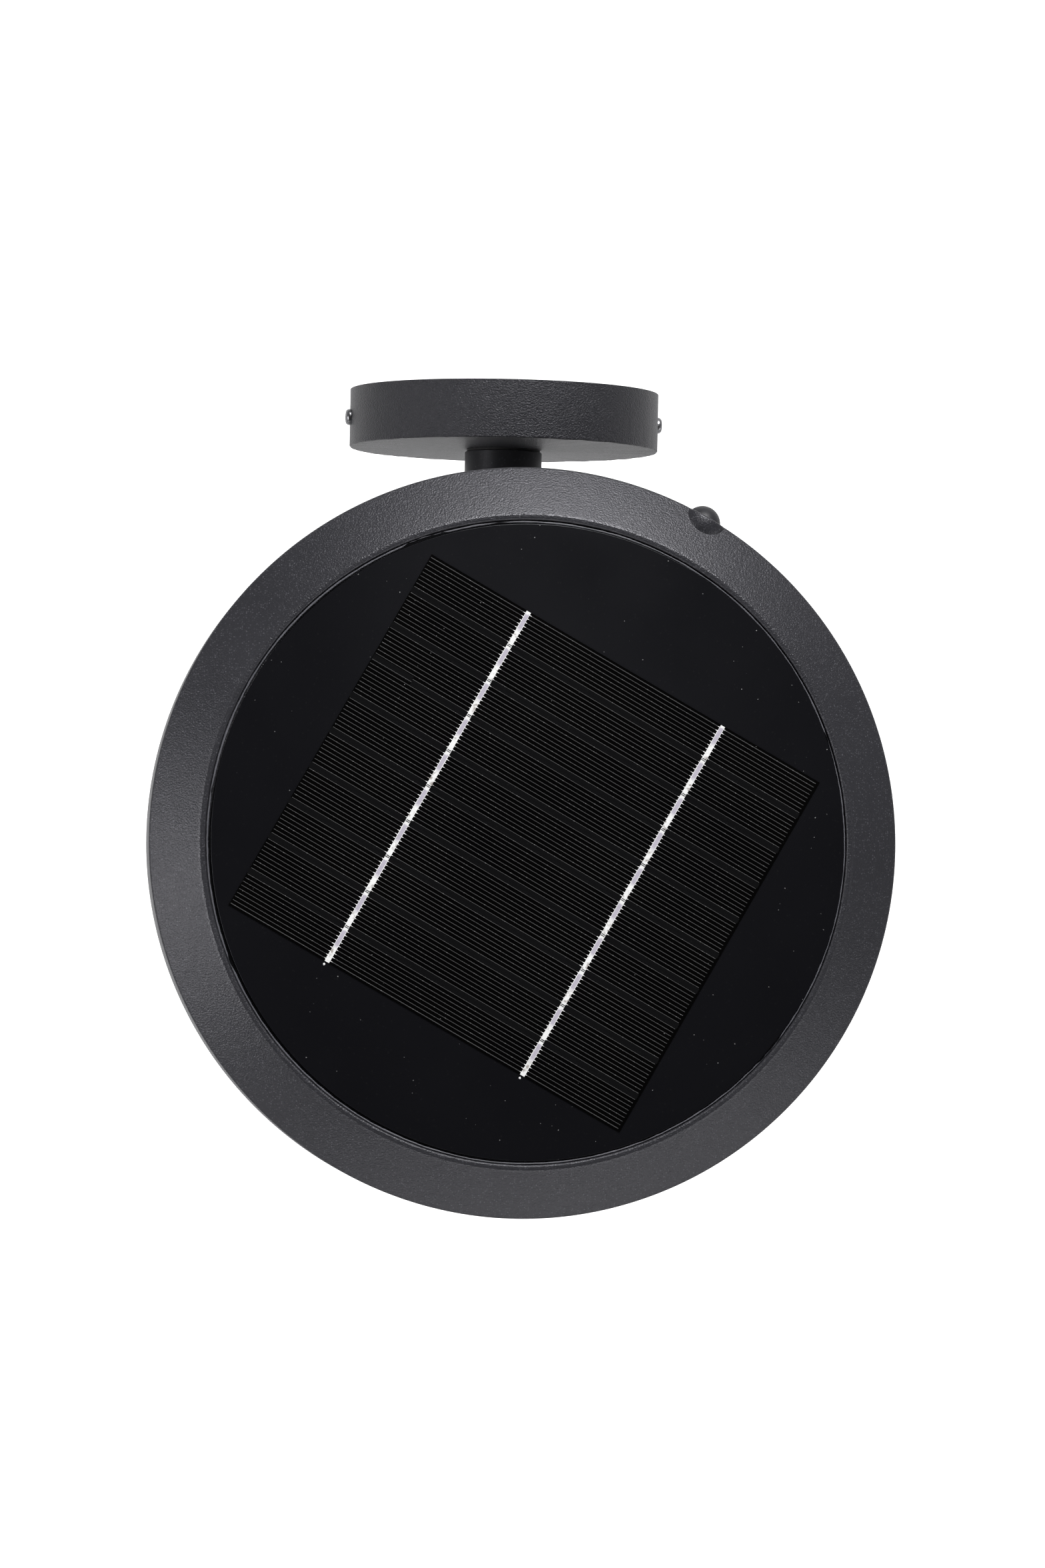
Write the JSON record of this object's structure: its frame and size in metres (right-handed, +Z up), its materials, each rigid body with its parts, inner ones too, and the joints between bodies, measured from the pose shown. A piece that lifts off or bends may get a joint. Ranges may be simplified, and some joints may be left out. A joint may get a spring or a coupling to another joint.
{
  "type": "solar wall light",
  "caption": "Outdoor wall light with a wide round hat, a solar panel in its sloping-edged top, a frosted light cone, a base cup and a straight stem to a round wall plate.",
  "frame": {"origin": "middle of the wall bracket's back face, in the plane of the wall, on the stem's axis", "axes": "+Z up, square to the solar panel; +Y into the wall; the lamp reaches out along -Y; +X to the right as seen from above with the wall at the top"},
  "size_m": [0.26, 0.2936, 0.1553],
  "materials": {
    "anthracite_casting": "anthracite sand-texture powder coat on die-cast aluminium",
    "anthracite_tube": "anthracite powder coat on aluminium tube",
    "anthracite_plate": "anthracite sand-texture powder coat on pressed steel",
    "cover_plastic": "fine-grained moulded plastic, anthracite",
    "zinc_steel": "zinc-plated pressed steel",
    "screw_steel": "bright zinc-plated or stainless screws",
    "seal_rubber": "black EPDM seal",
    "frosted_plastic": "frosted polycarbonate light cone",
    "reflector_white": "white moulded reflector",
    "board_white": "white-masked LED board",
    "led_yellow": "phosphor face of the LEDs",
    "board_green": "green solder-masked circuit board",
    "component_black": "moulded black component bodies",
    "button_rubber": "anthracite silicone button cap",
    "tray_plastic": "black moulded inner plastic",
    "battery_sleeve": "blue heat-shrink sleeve",
    "nickel_strip": "spot-welded nickel strip",
    "panel_black": "black panel laminate under clear film",
    "cell_silicon": "monocrystalline silicon under clear film, with fine fingers",
    "tinned_ribbon": "tinned copper ribbon",
    "sealant_grey": "grey silicone sealant",
    "lead_sleeve": "sleeved inner lead"
  },
  "bodies": {
    "lamp": {"base_cap": "cover_plastic", "base_cap_screws": "screw_steel", "base_cup": "anthracite_casting", "battery_cell_1": "battery_sleeve", "battery_cell_2": "battery_sleeve", "battery_lead": "lead_sleeve", "battery_strap": "tray_plastic", "battery_strap_screws": "screw_steel", "battery_tabs": "nickel_strip", "battery_tray": "tray_plastic", "board_components": "component_black", "button_retainer": "tray_plastic", "cell_ribbon_left": "tinned_ribbon", "cell_ribbon_right": "tinned_ribbon", "control_board": "board_green", "control_board_screws": "screw_steel", "cover_gasket": "seal_rubber", "diffuser": "frosted_plastic", "diffuser_base_screws": "screw_steel", "diffuser_gasket": "seal_rubber", "diffuser_screws": "screw_steel", "hat_cover": "cover_plastic", "hat_cover_screws": "screw_steel", "hat_housing": "anthracite_casting", "led_board": "board_white", "led_board_screws": "screw_steel", "led_chips": "led_yellow", "led_lead": "lead_sleeve", "led_reflector": "reflector_white", "panel_lead": "lead_sleeve", "panel_sealant": "sealant_grey", "plate_side_screws": "screw_steel", "solar_backing": "panel_black", "solar_cell_01": "cell_silicon", "solar_cell_02": "cell_silicon", "solar_cell_03": "cell_silicon", "solar_cell_04": "cell_silicon", "solar_cell_05": "cell_silicon", "solar_cell_06": "cell_silicon", "solar_cell_07": "cell_silicon", "solar_cell_08": "cell_silicon", "solar_cell_09": "cell_silicon", "solar_cell_10": "cell_silicon", "stem_plug": "zinc_steel", "stem_seal": "seal_rubber", "stem_set_screws": "screw_steel", "stem_tube": "anthracite_tube", "stem_wall_screws": "screw_steel", "switch_board": "board_green", "switch_board_screws": "screw_steel", "switch_body": "component_black", "switch_lead": "lead_sleeve", "wall_bracket": "zinc_steel", "wall_plate": "anthracite_plate"},
    "mode_button": {"button_cap": "button_rubber", "switch_plunger": "component_black"}
  },
  "joints": [
    {"name": "button_press", "type": "slide", "parent": "lamp", "child": "mode_button", "axis": [-0.4802, -0.8771, 0], "range_m": [0, 0.001], "stiffness_N_per_m": 800, "springref_m": -0.001}
  ]
}
